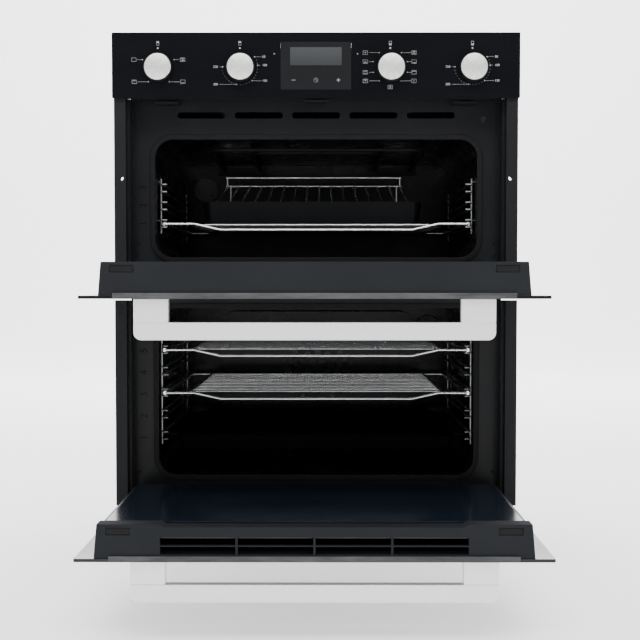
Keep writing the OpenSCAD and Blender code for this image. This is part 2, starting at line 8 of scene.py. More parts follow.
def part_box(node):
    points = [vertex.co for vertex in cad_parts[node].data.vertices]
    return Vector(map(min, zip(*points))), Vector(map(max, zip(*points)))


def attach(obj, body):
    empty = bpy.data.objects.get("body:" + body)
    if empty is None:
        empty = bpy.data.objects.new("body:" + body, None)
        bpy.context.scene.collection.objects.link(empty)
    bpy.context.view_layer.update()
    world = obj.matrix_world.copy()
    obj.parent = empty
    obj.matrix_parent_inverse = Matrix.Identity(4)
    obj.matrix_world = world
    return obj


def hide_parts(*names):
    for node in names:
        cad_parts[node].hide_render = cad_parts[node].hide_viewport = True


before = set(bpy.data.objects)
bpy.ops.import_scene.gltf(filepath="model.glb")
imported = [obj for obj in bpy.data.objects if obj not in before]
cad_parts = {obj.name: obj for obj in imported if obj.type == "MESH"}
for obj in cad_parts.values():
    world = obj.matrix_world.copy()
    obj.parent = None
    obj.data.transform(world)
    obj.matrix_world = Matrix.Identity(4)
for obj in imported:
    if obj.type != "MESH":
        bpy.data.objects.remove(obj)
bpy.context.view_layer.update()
MM = 0.001


# ---------- camera ----------
# It stands in front of the open doors, level with the middle of the oven, and looks slightly
# down. A longish lens keeps the perspective mild.

camera = bpy.data.objects.new("camera", bpy.data.cameras.new("camera"))
bpy.context.collection.objects.link(camera)
bpy.context.scene.camera = camera
camera.data.lens = 63.8
camera.data.sensor_width = 36
camera.location = (0.0115, -1.6854, 0.356)
camera.rotation_euler = (math.radians(90 - 1.99), 0, math.radians(0.19))


# ---------- studio ----------
# A pale paper sweep stands a plinth's height under the oven and curves up behind it.
# Broad soft lights hang in front, above and at both sides.


class Value:
    """A shader socket. Arithmetic on it adds Math nodes."""

    def __init__(self, finish, socket):
        self.finish = finish
        self.socket = socket

    def math(self, operation, left, right=0.0, clamp=False):
        settings = {"operation": operation, "use_clamp": clamp}
        return self.finish.node("Math", settings, {0: left, 1: right})

    def __add__(self, other):
        return self.math("ADD", self, other)

    def __mul__(self, other):
        return self.math("MULTIPLY", self, other)

    def __pow__(self, other):
        return self.math("POWER", self, other)

    def __lt__(self, other):
        return self.math("LESS_THAN", self, other)

    __radd__ = __add__
    __rmul__ = __mul__

    def limited(self):
        return self.math("ADD", self, 0.0, clamp=True)

    def eased(self, low, high):
        """0 below low, 1 above high, and smooth between them."""
        inputs = {"Value": self, "From Min": low, "From Max": high}
        return self.finish.node("MapRange", {"interpolation_type": "SMOOTHSTEP"}, inputs)


class Finish:
    """A material made of nodes around one Principled shader."""

    def __init__(self, name, **constants):
        self.material = bpy.data.materials.new(name)
        self.material.use_nodes = True
        self.tree = self.material.node_tree
        self.shader = self.tree.nodes["Principled BSDF"]
        for words, value in constants.items():
            self.shader.inputs[words.replace("_", " ").title().replace("Ior", "IOR")].default_value = value

    def node(self, kind, settings=None, inputs=None, output=0):
        """Adds a node: its settings first, then the values or links of its sockets."""
        made = self.tree.nodes.new("ShaderNode" + kind)
        for key, value in (settings or {}).items():
            setattr(made, key, value)
        for key, value in (inputs or {}).items():
            self.plug(made.inputs[key], value)
        return Value(self, made.outputs[output])

    def plug(self, socket, value):
        if isinstance(value, Value):
            self.tree.links.new(value.socket, socket)
        else:
            socket.default_value = value

    def place(self, stretch=(1, 1, 1), shift=(0, 0, 0)):
        """A point's place on the oven, in metres, stretched for a grain's direction."""
        point = self.node("TexCoord", output="Object")
        return self.node("Mapping", None, {"Vector": point, "Scale": stretch, "Location": shift})

    def noise(self, size, stretch=(1, 1, 1), detail=2.0, roughness=0.5):
        """Cloudy variation whose features are about size metres across."""
        inputs = {"Vector": self.place(stretch), "Scale": 1 / size, "Detail": detail}
        inputs["Roughness"] = roughness
        return self.node("TexNoise", None, inputs)

    def cells(self, size, output="Distance", stretch=(1, 1, 1)):
        return self.node("TexVoronoi", None, {"Vector": self.place(stretch), "Scale": 1 / size}, output)

    def blend(self, factor, low, high):
        """A colour between two others."""
        inputs = {0: factor, 6: low, 7: high}
        return self.node("Mix", {"data_type": "RGBA"}, inputs, 2)

    def colour(self, factor, low, high):
        self.plug(self.shader.inputs["Base Color"], self.blend(factor, (*low, 1), (*high, 1)))

    def set(self, name, value):
        self.plug(self.shader.inputs[name], value)

    def relief(self, height, depth):
        """Bumps that are depth metres high where height is 1."""
        inputs = {"Height": height, "Distance": depth, "Strength": 1.0}
        self.set("Normal", self.node("Bump", None, inputs, "Normal"))


paper = Finish("studio_paper", specular_ior_level=0.1, emission_strength=0.9)
paper_fibre = paper.noise(0.02, detail=4)
paper.colour(paper_fibre, (0.86, 0.86, 0.86), (0.90, 0.90, 0.90))
paper.set("Roughness", 0.85 + paper_fibre * 0.1)
paper.set("Emission Color", (1, 1, 1, 1))

FLOOR_Z = -0.10
SWEEP_HALF = 12.0
SWEEP_FRONT = -9.0
SWEEP_BACK = 5.5
SWEEP_RADIUS = 2.0

sweep = bmesh.new()
near = [sweep.verts.new((x, SWEEP_FRONT, FLOOR_Z)) for x in (-SWEEP_HALF, SWEEP_HALF)]
edge = sweep.edges.new(near)
floor_end = bmesh.ops.extrude_edge_only(sweep, edges=[edge])["geom"]
end_verts = [v for v in floor_end if isinstance(v, bmesh.types.BMVert)]
bmesh.ops.translate(sweep, verts=end_verts, vec=(0, SWEEP_BACK - SWEEP_FRONT, 0))
end_edges = [e for e in floor_end if isinstance(e, bmesh.types.BMEdge)]
curve = bmesh.ops.spin(
    sweep,
    geom=end_verts + end_edges,
    cent=(0, SWEEP_BACK, FLOOR_Z + SWEEP_RADIUS),
    axis=(1, 0, 0),
    angle=math.radians(90),
    steps=24,
)["geom_last"]
wall_edges = [e for e in curve if isinstance(e, bmesh.types.BMEdge)]
wall = bmesh.ops.extrude_edge_only(sweep, edges=wall_edges)["geom"]
bmesh.ops.translate(sweep, verts=[v for v in wall if isinstance(v, bmesh.types.BMVert)], vec=(0, 0, 8))
bmesh.ops.recalc_face_normals(sweep, faces=sweep.faces)


def shown(name, shape, finish, smooth_angle=30.0):
    """Makes an object at the origin from a mesh in progress."""
    mesh = bpy.data.meshes.new(name)
    shape.to_mesh(mesh)
    shape.free()
    if "custom_normal" in mesh.attributes:
        mesh.attributes.remove(mesh.attributes["custom_normal"])
    mesh.polygons.foreach_set("use_smooth", [True] * len(mesh.polygons))
    mesh.set_sharp_from_angle(angle=math.radians(smooth_angle))
    mesh.materials.clear()
    mesh.materials.append(finish.material)
    piece = bpy.data.objects.new(name, mesh)
    bpy.context.collection.objects.link(piece)
    return piece


shown("studio_sweep", sweep, paper)


def soft_light(name, place, target, size, power):
    lamp = bpy.data.lights.new(name, "AREA")
    lamp.shape = "RECTANGLE"
    lamp.size, lamp.size_y = size
    lamp.energy = power
    holder = bpy.data.objects.new(name, lamp)
    bpy.context.collection.objects.link(holder)
    holder.location = place
    holder.rotation_euler = (Vector(target) - Vector(place)).to_track_quat("-Z", "Y").to_euler()
    return holder


soft_light("front_light", (0.0, -2.7, 3.1), (0, -0.1, 0.3), (3.4, 1.2), 120)
soft_light("low_light", (0.0, -3.4, -0.02), (0, -0.2, 0.15), (3.0, 0.12), 10)
soft_light("left_light", (-2.8, -1.2, 0.9), (0, 0, 0.35), (1.2, 2.0), 34)
soft_light("right_light", (2.8, -1.2, 0.9), (0, 0, 0.35), (1.2, 2.0), 34)
soft_light("top_light", (0.0, 0.3, 3.2), (0, 0.1, 0.4), (3.0, 3.0), 60)
soft_light("paper_light", (0.0, 2.6, 4.6), (0, 7.0, 1.2), (8.0, 1.5), 900)
soft_light("rear_light", (0.0, 3.6, 1.8), (0, 0.3, 0.35), (3.0, 1.6), 50)

world = bpy.data.worlds.new("studio_air")
bpy.context.scene.world = world
world.use_nodes = True
world.node_tree.nodes["Background"].inputs["Color"].default_value = (0.95, 0.97, 1.0, 1)
world.node_tree.nodes["Background"].inputs["Strength"].default_value = 0.55


# ---------- casing ----------
# Bent zinc-coated sheet: a base tray, two sides, a top and a ribbed rear, screwed along
# their edges. None of it shows once the oven is in its cabinet, so it is left unpainted.

zinc = Finish("zinc_coated_sheet", metallic=0.9)
spangle = zinc.node("SeparateColor", None, {"Color": zinc.cells(0.011, "Color", (1, 1, 0.8))})
zinc.colour(spangle * 0.6 + zinc.noise(0.09, detail=3) * 0.4, (0.25, 0.257, 0.27), (0.41, 0.418, 0.43))
zinc.set("Roughness", 0.34 + spangle * 0.16 + zinc.noise(0.003) * 0.08)
zinc.relief(zinc.noise(0.0012, detail=3), 0.00002)


def eased(node, body, width, finish, segments=2, name=None):
    """Stands for a CAD node: the same solid with its sharp edges eased by width metres."""
    shape = bmesh.new()
    shape.from_mesh(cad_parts[node].data)
    bmesh.ops.remove_doubles(shape, verts=shape.verts, dist=0.00001)
    bmesh.ops.dissolve_limit(
        shape, angle_limit=math.radians(0.6), verts=shape.verts, edges=shape.edges,
        use_dissolve_boundaries=False,
    )
    sharp = [e for e in shape.edges if len(e.link_faces) == 2 and e.calc_face_angle(0.0) > math.radians(38)]
    bmesh.ops.bevel(
        shape,
        geom=sharp,
        offset=width,
        offset_type="OFFSET",
        affect="EDGES",
        segments=segments,
        profile=0.5,
        material=-1,
        clamp_overlap=True,
    )
    piece = shown(name or node + "_eased", shape, finish, 32)
    weighted = piece.modifiers.new("flat_faces_stay_flat", "WEIGHTED_NORMAL")
    weighted.weight = 100
    weighted.keep_sharp = True
    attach(piece, body)
    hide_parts(node)
    return piece


def coat(finish, *nodes):
    """Gives CAD nodes that keep their own shape a finish."""
    for node in nodes:
        for material_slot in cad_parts[node].material_slots:
            material_slot.material = finish.material


coat(zinc, "base_plate", "side_panel_left", "side_panel_right", "rear_panel", "top_panel", "blower_housing")


def turned(name, profile, centre, along, finish, body, steps=48, smooth_angle=30.0):
    """A round piece: profile is radius and height pairs, spun about a line through centre."""
    turn = Vector((0, 0, 1)).rotation_difference(Vector(along)).to_matrix()
    shape = bmesh.new()
    line = [shape.verts.new((radius, 0, height)) for radius, height in profile]
    edges = [shape.edges.new(pair) for pair in zip(line, line[1:])]
    bmesh.ops.spin(
        shape, geom=line + edges, cent=(0, 0, 0), axis=(0, 0, 1), angle=math.tau, steps=steps,
        use_merge=True,
    )
    bmesh.ops.remove_doubles(shape, verts=shape.verts, dist=0.000005)
    bmesh.ops.recalc_face_normals(shape, faces=shape.faces)
    bmesh.ops.transform(shape, matrix=Matrix.Translation(centre) @ turn.to_4x4(), verts=shape.verts)
    piece = shown(name, shape, finish, smooth_angle)
    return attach(piece, body)


screw_steel = Finish("plated_screw", metallic=1.0)
screw_steel.colour(screw_steel.noise(0.0015), (0.40, 0.41, 0.43), (0.62, 0.63, 0.65))
screw_steel.set("Roughness", 0.28 + screw_steel.noise(0.0006) * 0.15)


def screws(name, places, along, head, body="casing"):
    """Pan-head screws with a round recess, all looking along one line."""
    turn = Vector((0, 0, 1)).rotation_difference(Vector(along)).to_matrix().to_4x4()
    shape = bmesh.new()
    for place in places:
        spot = Matrix.Translation(place) @ turn
        made = bmesh.ops.create_cone(
            shape, cap_ends=True, segments=20, radius1=head, radius2=head * 0.72, depth=head * 0.5,
            matrix=spot @ Matrix.Translation((0, 0, head * 0.25)),
        )
        top = max(
            {face for vert in made["verts"] for face in vert.link_faces},
            key=lambda face: (spot.inverted() @ face.calc_center_median()).z,
        )
        bmesh.ops.inset_region(shape, faces=[top], thickness=head * 0.42)
        bmesh.ops.translate(shape, verts=top.verts, vec=-(Vector(along).normalized()) * head * 0.22)
    piece = shown(name, shape, screw_steel, 25)
    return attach(piece, body)


side_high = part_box("side_panel_right")[1]
rear_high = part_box("rear_panel")[1]
SCREW_HEAD = 3.6 * MM
for word, sign in (("left", -1), ("right", 1)):
    x = sign * side_high.x
    rows = [(x, y, z) for y in (0.06, 0.21, 0.36, 0.52) for z in (0.022, 0.69)]
    screws(f"side_screws_{word}", rows, (sign, 0, 0), SCREW_HEAD)
rear_rows = [(x, rear_high.y, z) for x in (-0.262, -0.09, 0.09, 0.262) for z in (0.02, 0.69)]
rear_rows += [(x, rear_high.y, z) for x in (-0.262, 0.262) for z in (0.24, 0.46)]
screws("rear_screws", rear_rows, (0, 1, 0), SCREW_HEAD)


def pressed_panel(name, low, high, depth, slope, finish, body):
    """A shallow raised field pressed into a sheet that faces the rear."""
    shape = bmesh.new()
    bmesh.ops.create_cube(shape, size=1)
    middle, size = (low + high) / 2, high - low
    bmesh.ops.scale(shape, vec=(size.x, depth, size.z), verts=shape.verts)
    bmesh.ops.translate(shape, vec=(middle.x, high.y + depth / 2, middle.z), verts=shape.verts)
    uprights = [e for e in shape.edges if abs((e.verts[0].co - e.verts[1].co).normalized().y) > 0.9]
    bmesh.ops.bevel(
        shape, geom=uprights, offset=0.02, offset_type="OFFSET", affect="EDGES", segments=6,
        profile=0.5, material=-1,
    )
    outer = max(shape.faces, key=lambda face: face.calc_center_median().y)
    bmesh.ops.inset_region(shape, faces=[outer], thickness=slope)
    rim = [v for v in shape.verts if v.co.y > high.y + depth / 2 and v not in outer.verts]
    bmesh.ops.translate(shape, verts=rim, vec=(0, -depth * 0.9, 0))
    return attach(shown(name, shape, finish, 20), body)


for word, low_z, high_z in (("upper", 0.40, 0.56), ("lower", 0.10, 0.30)):
    field_low = Vector((-0.20, rear_high.y, low_z))
    field_high = Vector((0.20, rear_high.y, high_z))
    pressed_panel(f"rear_field_{word}", field_low, field_high, 3 * MM, 6 * MM, zinc, "casing")


# ---------- terminal box and gland ----------
# Moulded box for the supply terminals, fixed to the rear panel. Its gland clamps the supply
# cable, which the oven's fitter adds.

white_nylon = Finish("white_nylon", specular_ior_level=0.4)
white_nylon.colour(white_nylon.noise(0.02, detail=3), (0.66, 0.655, 0.63), (0.76, 0.755, 0.73))
white_nylon.set("Roughness", 0.42 + white_nylon.noise(0.0012) * 0.12)
white_nylon.relief(white_nylon.noise(0.0009), 0.00002)
eased("terminal_box", "casing", 0.6 * MM, white_nylon)


# ---------- heating, fan and blower ----------
# Sheathed heating tubes, a pressed fan wheel and its motor, and a long blower that cools
# the controls. All of it sits behind the cavities or above them.

heater = Finish("heater_sheath", specular_ior_level=0.15)
heater.colour(heater.noise(0.03, detail=4), (0.003, 0.0028, 0.0028), (0.009, 0.0085, 0.0082))
heater.set("Roughness", 0.42 + heater.noise(0.002) * 0.2)
heater.relief(heater.noise(0.0006), 0.00002)
coat(heater, "grill_element", "base_element", "ring_element")

# The wheels' metal is coloured near black: painted shade, so the holes in the fan cover read dark.
fan_metal_painted_shade = Finish("fan_metal_painted_shade", metallic=1.0)
fan_metal_painted_shade.colour(fan_metal_painted_shade.noise(0.01, (1, 1, 6)), (0.03, 0.031, 0.032), (0.06, 0.061, 0.063))
fan_metal_painted_shade.set("Roughness", 0.3 + fan_metal_painted_shade.noise(0.001, (1, 1, 12)) * 0.2)
coat(fan_metal_painted_shade, "fan_impeller", "blower_wheel")

core = Finish("motor_core", metallic=0.8)
plates = core.node("TexWave", {"bands_direction": "Y"}, {"Vector": core.place(), "Scale": 250.0})
core.colour(core.noise(0.01), (0.10, 0.105, 0.115), (0.18, 0.185, 0.2))
core.set("Roughness", 0.4 + core.noise(0.004) * 0.2)
core.relief(plates, 0.0002)
coat(core, "fan_motor", "blower_motor")

wool = Finish("mineral_wool", specular_ior_level=0.1, sheen_weight=0.3)
wool.colour(wool.noise(0.006, detail=6), (0.45, 0.38, 0.2), (0.72, 0.64, 0.42))
wool.set("Roughness", 0.9 + wool.noise(0.002) * 0.1)
wool.relief(wool.noise(0.003, detail=6, roughness=0.7), 0.0015)
coat(wool, "insulation")

ceramic = Finish("lamp_ceramic", specular_ior_level=0.3)
ceramic.colour(ceramic.noise(0.008, detail=3), (0.72, 0.70, 0.64), (0.84, 0.82, 0.77))
ceramic.set("Roughness", 0.5 + ceramic.noise(0.001) * 0.2)
coat(ceramic, "oven_lamps")


# ---------- front frame and trims ----------
# One pressed sheet carries both mouths and the vent slots, finished in black enamel. Its
# returns line the recess. Hollow lacquered trims at both sides cover the cabinet's edges.

black_enamel = Finish("black_frame_enamel", specular_ior_level=0.1)
black_enamel.colour(black_enamel.noise(0.05, detail=3), (0.0090, 0.0093, 0.0102), (0.0140, 0.0145, 0.0158))
black_enamel.set("Roughness", 0.24 + black_enamel.noise(0.012, detail=3) * 0.12)
black_enamel.relief(black_enamel.noise(0.004, detail=1), 0.000015)

trim_lacquer = Finish("trim_lacquer", specular_ior_level=0.06)
trim_cloud = trim_lacquer.noise(0.04, (1, 1, 0.3), detail=3)
trim_lacquer.colour(trim_cloud, (0.0100, 0.0104, 0.0114), (0.0145, 0.0149, 0.0162))
trim_lacquer.set("Roughness", 0.36 + trim_lacquer.noise(0.0016) * 0.14)
trim_lacquer.relief(trim_lacquer.noise(0.0007), 0.00001)

eased("front_frame", "casing", 0.35 * MM, black_enamel)
eased("side_trim_left", "casing", 0.5 * MM, trim_lacquer)
eased("side_trim_right", "casing", 0.5 * MM, trim_lacquer)
eased("bottom_trim", "casing", 0.3 * MM, black_enamel)
# The air duct gets the frame's black enamel as painted shade, so what shows behind the frame's openings
# reads dark.
coat(black_enamel, "air_duct")


def block(shape, low, high, bevel=0.0, segments=2):
    """Adds a block with eased edges to a mesh in progress, and gives its corners."""
    low, high = Vector(low), Vector(high)
    made = bmesh.ops.create_cube(shape, size=1)["verts"]
    bmesh.ops.scale(shape, vec=high - low, verts=made)
    bmesh.ops.translate(shape, vec=(low + high) / 2, verts=made)
    if bevel:
        edges = list({edge for vert in made for edge in vert.link_edges})
        bmesh.ops.bevel(
            shape, geom=edges, offset=bevel, offset_type="OFFSET", affect="EDGES",
            segments=segments, profile=0.5, material=-1,
        )
    return made


fascia_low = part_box("fascia_glass")[0]
FRAME_FACE = 28 * MM
under_fascia = fascia_low.z
tabs = bmesh.new()
for sign in (-1, 1):
    inner, outer = sorted((sign * 0.204, sign * 0.238))
    block(tabs, (inner, 0.001, under_fascia - 0.004), (outer, FRAME_FACE, under_fascia - 0.0015), 0.4 * MM)
block(tabs, (-0.017, -0.012, under_fascia - 0.0045), (0.017, 0.002, under_fascia - 0.0005), 1.2 * MM, 3)
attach(shown("fascia_tabs", tabs, trim_lacquer), "casing")


class Print:
    """Ink on a face that looks to the front: bars, rings, dots and figures, all one piece."""

    def __init__(self, y, thickness=0.06 * MM):
        self.shape = bmesh.new()
        self.y = y - thickness / 2
        self.thickness = thickness

    def bar(self, start, end, width=0.5 * MM):
        start, end = Vector(start), Vector(end)
        run = end - start
        made = bmesh.ops.create_cube(self.shape, size=1)["verts"]
        bmesh.ops.scale(self.shape, vec=(run.length + width, self.thickness, width), verts=made)
        turn = Matrix.Rotation(-math.atan2(run.y, run.x), 3, "Y")
        bmesh.ops.rotate(self.shape, cent=(0, 0, 0), matrix=turn, verts=made)
        middle = (start + end) / 2
        bmesh.ops.translate(self.shape, vec=(middle.x, self.y, middle.y), verts=made)

    def dot(self, centre, radius):
        turn = Matrix.Translation((centre[0], self.y, centre[1])) @ Matrix.Rotation(math.pi / 2, 4, "X")
        bmesh.ops.create_cone(
            self.shape, cap_ends=True, segments=16, radius1=radius, radius2=radius,
            depth=self.thickness, matrix=turn,
        )

    def outline(self, centre, width, height, line=0.4 * MM):
        x, z = centre
        corners = [(x - width / 2, z - height / 2), (x + width / 2, z - height / 2)]
        corners += [(x + width / 2, z + height / 2), (x - width / 2, z + height / 2)]
        for start, end in zip(corners, corners[1:] + corners[:1]):
            self.bar(start, end, line)

    def figure(self, text, centre, height, turn=0.0):
        """Figures whose digits are height metres tall."""
        words = bpy.data.curves.new("figure", "FONT")
        words.body = text
        words.size = height / 0.72
        words.align_x = "CENTER"
        words.align_y = "CENTER"
        words.extrude = self.thickness / 2
        words.resolution_u = 3
        holder = bpy.data.objects.new("figure", words)
        mesh = bpy.data.meshes.new_from_object(holder)
        upright = Matrix.Rotation(math.pi / 2, 4, "X") @ Matrix.Rotation(turn, 4, "Z")
        mesh.transform(Matrix.Translation((centre[0], self.y, centre[1])) @ upright)
        self.shape.from_mesh(mesh)
        bpy.data.objects.remove(holder)
        bpy.data.meshes.remove(mesh)
        bpy.data.curves.remove(words)

    def done(self, name, finish, body="casing"):
        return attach(shown(name, self.shape, finish), body)


white_ink = Finish("white_ink", specular_ior_level=0.2)
white_ink.colour(white_ink.noise(0.0006), (0.34, 0.345, 0.35), (0.50, 0.505, 0.51))
white_ink.set("Roughness", 0.5 + white_ink.noise(0.0004) * 0.2)

grey_ink = Finish("grey_ink", specular_ior_level=0.2)
grey_ink.colour(grey_ink.noise(0.0006), (0.20, 0.20, 0.205), (0.32, 0.32, 0.325))
grey_ink.set("Roughness", 0.5 + grey_ink.noise(0.0004) * 0.2)

UPPER_LEVELS = (0.442, 0.469, 0.496)
LOWER_LEVELS = (0.118, 0.151, 0.184, 0.217, 0.250)
level_ink = Finish("level_mark_ink", specular_ior_level=0.05)
level_ink.colour(level_ink.noise(0.001), (0.0015, 0.0015, 0.0016), (0.0030, 0.0030, 0.0032))
level_ink.set("Roughness", 0.2 + level_ink.noise(0.0006) * 0.2)
level_marks = Print(FRAME_FACE)
for levels in (UPPER_LEVELS, LOWER_LEVELS):
    for number, height in enumerate(levels, 1):
        level_marks.figure(str(number), (-0.2605, height), 11 * MM, math.pi / 2)
level_marks.done("level_marks", level_ink)

corner_screws = [(sign * 0.268, FRAME_FACE, z) for sign in (-1, 1) for z in (0.393, 0.412, 0.066)]
frame_screws = screws("frame_screws", corner_screws, (0, -1, 0), 2.4 * MM)
frame_screws.data.materials[0] = trim_lacquer.material


# ---------- cavities ----------
# Drawn steel boxes fired with dark enamel: glossy, almost black and finely specked. A round
# rubber seal is hooked around each mouth.

cavity_enamel = Finish("cavity_enamel", specular_ior_level=0.14)
specks = cavity_enamel.cells(0.0011) < 0.13
cloud = cavity_enamel.noise(0.06, detail=3)
cavity_mix = (specks * 0.4 + cloud * 0.08).limited()
cavity_enamel.colour(cavity_mix, (0.0012, 0.0013, 0.0018), (0.030, 0.034, 0.046))
cavity_enamel.set("Roughness", 0.2 + cloud * 0.14)
cavity_enamel.relief(cavity_enamel.noise(0.006, detail=1), 0.00002)
coat(cavity_enamel, "upper_cavity", "lower_cavity")
eased("fan_cover", "casing", 0.4 * MM, cavity_enamel)

rubber = Finish("seal_rubber", specular_ior_level=0.12)
rubber.colour(rubber.noise(0.01, detail=3), (0.005, 0.005, 0.0055), (0.009, 0.009, 0.0095))
rubber.set("Roughness", 0.5 + rubber.noise(0.002) * 0.2)
rubber.relief(rubber.noise(0.0009, detail=3), 0.00003)
eased("upper_seal", "casing", 1.1 * MM, rubber, 4)
eased("lower_seal", "casing", 1.1 * MM, rubber, 4)

lens = Finish("lamp_glass", specular_ior_level=0.2)
flute_kind = {"wave_type": "RINGS", "rings_direction": "Y"}
flutes = lens.node("TexWave", flute_kind, {"Vector": lens.place(), "Scale": 80.0})
lens.colour(lens.noise(0.01), (0.0030, 0.0032, 0.0034), (0.0060, 0.0062, 0.0064))
lens.set("Roughness", 0.12 + lens.noise(0.003) * 0.1)
lens.relief(flutes, 0.0003)
eased("lamp_lenses", "casing", 1.2 * MM, lens, 3)


# ---------- racks and shelves ----------
# Bright chromed wire, welded where it crosses. The racks hang on the cavity walls and the
# shelves slide on their runners.

chrome = Finish("chromed_wire", metallic=1.0)
chrome.colour(chrome.noise(0.004, detail=3), (0.60, 0.605, 0.615), (0.78, 0.785, 0.79))
chrome.set("Roughness", 0.16 + chrome.noise(0.002, detail=3) * 0.14)
chrome.relief(chrome.noise(0.0012), 0.00002)
coat(chrome, "grill_trivet", "upper_shelf", "lower_shelf_top", "lower_shelf_middle")

# The racks are the same chromed wire as the shelves, given a darker colour: painted shade.
rack_wire_painted_shade = Finish("rack_wire_painted_shade", metallic=1.0)
rack_wire_painted_shade.colour(rack_wire_painted_shade.noise(0.004, detail=3), (0.16, 0.163, 0.168), (0.28, 0.283, 0.29))
rack_wire_painted_shade.set("Roughness", 0.24 + rack_wire_painted_shade.noise(0.002, detail=3) * 0.16)
coat(rack_wire_painted_shade, "upper_racks", "lower_racks")


# ---------- grill pan and baking tray ----------
# Sheet steel drawn in one press stroke, with a turned rim, and fired with the same dark
# enamel as the cavities.

pan_enamel = Finish("pan_enamel", specular_ior_level=0.06)
pan_specks = pan_enamel.cells(0.0013) < 0.12
pan_mix = (pan_specks * 0.3 + pan_enamel.noise(0.05) * 0.08).limited()
pan_enamel.colour(pan_mix, (0.0014, 0.0015, 0.0019), (0.026, 0.028, 0.034))
pan_enamel.set("Roughness", 0.22 + pan_enamel.noise(0.03, detail=3) * 0.16)
pan_enamel.relief(pan_enamel.noise(0.005, detail=1), 0.00002)
eased("grill_pan", "pan_body", 0.5 * MM, pan_enamel)
eased("baking_tray", "tray_body", 0.4 * MM, pan_enamel)


# ---------- fascia ----------
# Black-printed glass bonded to a plastic carrier. White figures and signs are printed on
# it around the knobs, and a timer shows through a smoked panel in its middle.

fascia_glass = Finish("fascia_glass", specular_ior_level=0.08)
smear = fascia_glass.noise(0.12, (1, 1, 2.5), detail=4)
fascia_glass.colour(smear, (0.0032, 0.0035, 0.0044), (0.0048, 0.0053, 0.0066))
fascia_glass.set("Roughness", 0.05 + smear * 0.06)
eased("fascia_glass", "casing", 0.7 * MM, fascia_glass, 3)

carrier = Finish("carrier_plastic", specular_ior_level=0.3)
carrier.colour(carrier.noise(0.02), (0.010, 0.010, 0.011), (0.016, 0.016, 0.017))
carrier.set("Roughness", 0.5 + carrier.noise(0.001) * 0.15)
carrier.relief(carrier.noise(0.0008), 0.00003)
eased("fascia_carrier", "casing", 0.5 * MM, carrier)
coat(white_nylon, "rotary_switches")

board = Finish("timer_board", specular_ior_level=0.4)
tracks = board.node("TexBrick", None, {"Vector": board.place(), "Scale": 180.0, "Mortar Size": 0.03}, "Fac")
board.colour(tracks, (0.02, 0.10, 0.045), (0.05, 0.2, 0.09))
board.set("Roughness", 0.35 + board.noise(0.002) * 0.2)
coat(board, "timer_module")

smoked = Finish("smoked_panel", specular_ior_level=0.12)
panel_cloud = smoked.noise(0.05, detail=2)
smoked.colour(panel_cloud, (0.0100, 0.0102, 0.0110), (0.0135, 0.0138, 0.0148))
smoked.set("Roughness", 0.14 + panel_cloud * 0.08)
eased("display_window", "casing", 0.4 * MM, smoked)

display = Finish("display_film_with_painted_highlight", specular_ior_level=0.15)
display_grain = display.noise(0.0007, detail=2)
# The film turns lighter towards its top: a painted highlight.
display_painted_highlight = display.node("SeparateXYZ", None, {"Vector": display.place()}, "Z").eased(0.667, 0.697)
display_mix = (display_painted_highlight * 0.7 + display_grain * 0.3).limited()
display.colour(display_mix, (0.027, 0.029, 0.031), (0.050, 0.052, 0.054))
display.set("Roughness", 0.3 + display_grain * 0.1)
FASCIA_FACE = fascia_low.y
film = Print(FASCIA_FACE, 0.08 * MM)
DISPLAY_Z = 0.6825
film.bar((-0.0245, DISPLAY_Z), (0.0245, DISPLAY_Z), 26 * MM)
film.done("display_film_with_painted_highlight", display)

knob_places = ("upper_function", "upper_thermostat", "lower_function", "lower_thermostat")
knob_nodes = [place + "_knob" for place in knob_places]
knob_bodies = [place + "_control" for place in knob_places]
knob_centres = []
for node in knob_nodes:
    low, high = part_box(node)
    knob_centres.append(((low.x + high.x) / 2, (low.z + high.z) / 2))

DIAL_HEIGHT = 0.6672
DIAL_SHIFT = -1.2 * MM
dials = [(x + DIAL_SHIFT, DIAL_HEIGHT) for x, z in knob_centres]
upper_function, upper_heat, lower_function, lower_heat = dials

ink = Print(FASCIA_FACE)
for (x, z), half in zip(dials, (1, 1, -1, -1)):
    ink.dot((x, z + 27 * MM), 1.2 * MM)
    ink.outline((x, z + 34 * MM), 3.4 * MM, 5.8 * MM, 0.3 * MM)
    height = z + (34 + half * 1.5) * MM
    ink.bar((x - 0.9 * MM, height), (x + 0.9 * MM, height), 1.7 * MM)


def around(centre, radius, degrees):
    """A point at a distance from a knob's centre; 0 degrees is straight up, clockwise."""
    angle = math.radians(degrees)
    return centre[0] + radius * math.sin(angle), centre[1] + radius * math.cos(angle)


SCALE_RADIUS = 26 * MM
PRINT_LINE = 0.26 * MM
# Each figure, its place to the right of and above the knob's centre, and its line's two ends.
HEAT_FIGURES = (
    ("50", 34.8, 14.5, 21.2, 30.8),
    ("100", 36.2, 2.2, 25.8, 29.6),
    ("150", 36.2, -20.2, 17.8, 31.4),
    ("200", -35.6, -25.4, -29.6, -5.5),
    ("250", -35.6, 0.0, -29.6, -25.2),
)
faint_ink = Print(FASCIA_FACE)
for centre in (upper_heat, lower_heat):
    for text, x, z, start_x, end_x in HEAT_FIGURES:
        level = centre[1] + z * MM
        ink.figure(text, (centre[0] + x * MM, level), 3.3 * MM)
        ink.bar((centre[0] + start_x * MM, level), (centre[0] + end_x * MM, level), PRINT_LINE)
        ink.dot((centre[0] + (end_x if x < 0 else start_x) * MM, level), 0.8 * MM)
    for step in range(22):
        faint_ink.dot(around(centre, SCALE_RADIUS, 58 + step * 10), 0.45 * MM)


TOP_HEAT, BASE_HEAT, FAN = 1, 2, 4


